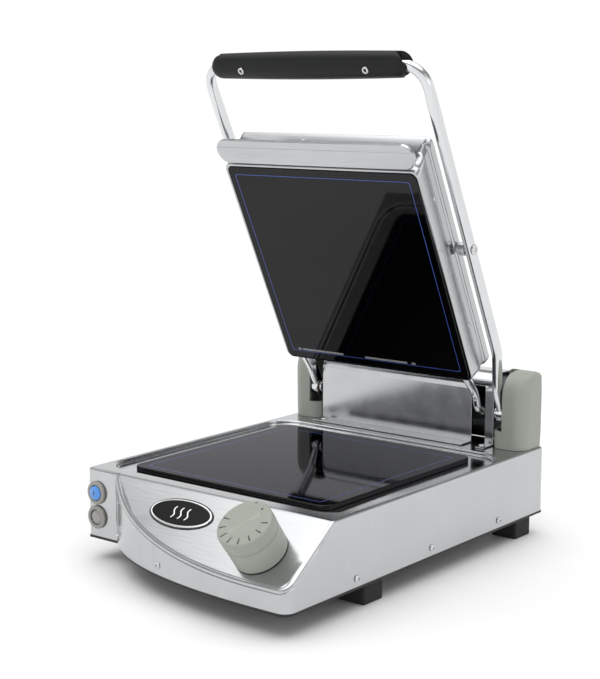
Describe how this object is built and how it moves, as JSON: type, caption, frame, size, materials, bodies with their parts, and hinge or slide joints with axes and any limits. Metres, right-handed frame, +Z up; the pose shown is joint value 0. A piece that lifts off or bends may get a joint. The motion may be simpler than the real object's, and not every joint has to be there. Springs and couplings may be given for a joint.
{
  "type": "panini press",
  "caption": "Countertop contact grill: steel base with a lower glass plate, floating upper glass plate on a bent tube arm with black grip, sloped console with thermostat knob.",
  "frame": {"origin": "on the surface the feet stand on, under the middle of the whole outline with the lid open", "axes": "+X to the right seen from the front, +Y to the back, +Z up; the controls face -Y"},
  "size_m": [0.3356, 0.4824, 0.5345],
  "materials": {
    "sheet_steel": "satin brushed stainless sheet with polished edges",
    "black_plate": "semi-matt black paint",
    "plate_glass": "polished black glass ceramic",
    "inner_steel": "plain zinc-plated steel",
    "heater_wire": "oxidised resistance ribbon",
    "insulation_board": "pressed mineral fibre board",
    "black_fitting": "moulded black nylon",
    "terminal_plastic": "moulded cream plastic",
    "cover_plastic": "fine-textured grey-green moulding",
    "fastener_steel": "bright steel",
    "bezel_plastic": "satin grey moulding",
    "blue_lens": "clear blue lens",
    "grey_lens": "clear grey lens, unlit",
    "badge_rim": "bright plated rim",
    "badge_black": "gloss black",
    "knob_plastic": "satin grey-green moulding",
    "brass_shaft": "turned brass",
    "polished_tube": "polished stainless tube",
    "bronze_bush": "sintered bronze",
    "grip_plastic": "satin black heat-resistant plastic",
    "foot_rubber": "matt black rubber"
  },
  "bodies": {
    "base": {"base_shell": "sheet_steel", "gutter_tray": "sheet_steel", "rear_upright": "sheet_steel", "floor_plate": "black_plate", "lower_glass": "plate_glass", "lower_heater_pan": "inner_steel", "heater_rail_right": "inner_steel", "heater_rail_left": "inner_steel", "hinge_bracket_right": "inner_steel", "hinge_bracket_left": "inner_steel", "torsion_spring_right": "inner_steel", "torsion_spring_left": "inner_steel", "lower_element": "heater_wire", "lower_insulation": "insulation_board", "cable_gland": "black_fitting", "terminal_block": "terminal_plastic", "thermostat_body": "terminal_plastic", "hinge_cover_right": "cover_plastic", "hinge_cover_left": "cover_plastic", "hinge_pin_right": "fastener_steel", "hinge_pin_left": "fastener_steel", "power_bezel": "bezel_plastic", "heating_lamp_bezel": "bezel_plastic", "heating_lamp_lens": "grey_lens", "badge_bezel": "badge_rim", "badge_plate": "badge_black", "foot_front_right": "foot_rubber", "foot_front_left": "foot_rubber", "foot_rear_right": "foot_rubber", "foot_rear_left": "foot_rubber", "side_screw_1_right": "fastener_steel", "side_screw_1_left": "fastener_steel", "side_screw_2_right": "fastener_steel", "side_screw_2_left": "fastener_steel", "side_screw_3_right": "fastener_steel", "side_screw_3_left": "fastener_steel"},
    "knob": {"knob_body": "knob_plastic", "knob_shaft": "brass_shaft"},
    "power_button": {"power_button": "blue_lens"},
    "arm": {"arm_tube": "polished_tube", "hinge_bush_right": "bronze_bush", "hinge_bush_left": "bronze_bush", "grip_front": "grip_plastic", "grip_back": "grip_plastic", "grip_screw_right": "fastener_steel", "grip_screw_left": "fastener_steel", "lead_conduit": "polished_tube", "pivot_bolt_right": "fastener_steel", "pivot_bolt_left": "fastener_steel"},
    "upper_plate": {"lid_shell": "sheet_steel", "upper_glass": "plate_glass", "front_lip": "sheet_steel", "upper_heater_pan": "inner_steel", "upper_insulation": "insulation_board", "upper_element": "heater_wire"}
  },
  "joints": [
    {"name": "lid_hinge", "type": "hinge", "parent": "base", "child": "arm", "pos_m": [0, 0.20115, 0.137], "axis": [1, 0, 0], "range_deg": [-6, 62.6]},
    {"name": "plate_tilt", "type": "hinge", "parent": "arm", "child": "upper_plate", "pos_m": [0, 0.10712, 0.32979], "axis": [-1, 0, 0], "range_deg": [-3, 0]},
    {"name": "knob_turn", "type": "hinge", "parent": "base", "child": "knob", "pos_m": [0.1105, -0.19544, 0.06896], "axis": [0, -0.5948, 0.8039], "range_deg": [-270, 0]},
    {"name": "power_button_press", "type": "slide", "parent": "base", "child": "power_button", "axis": [0, 1, 0], "range_m": [0, 0.0025], "stiffness_N_per_m": 800}
  ]
}
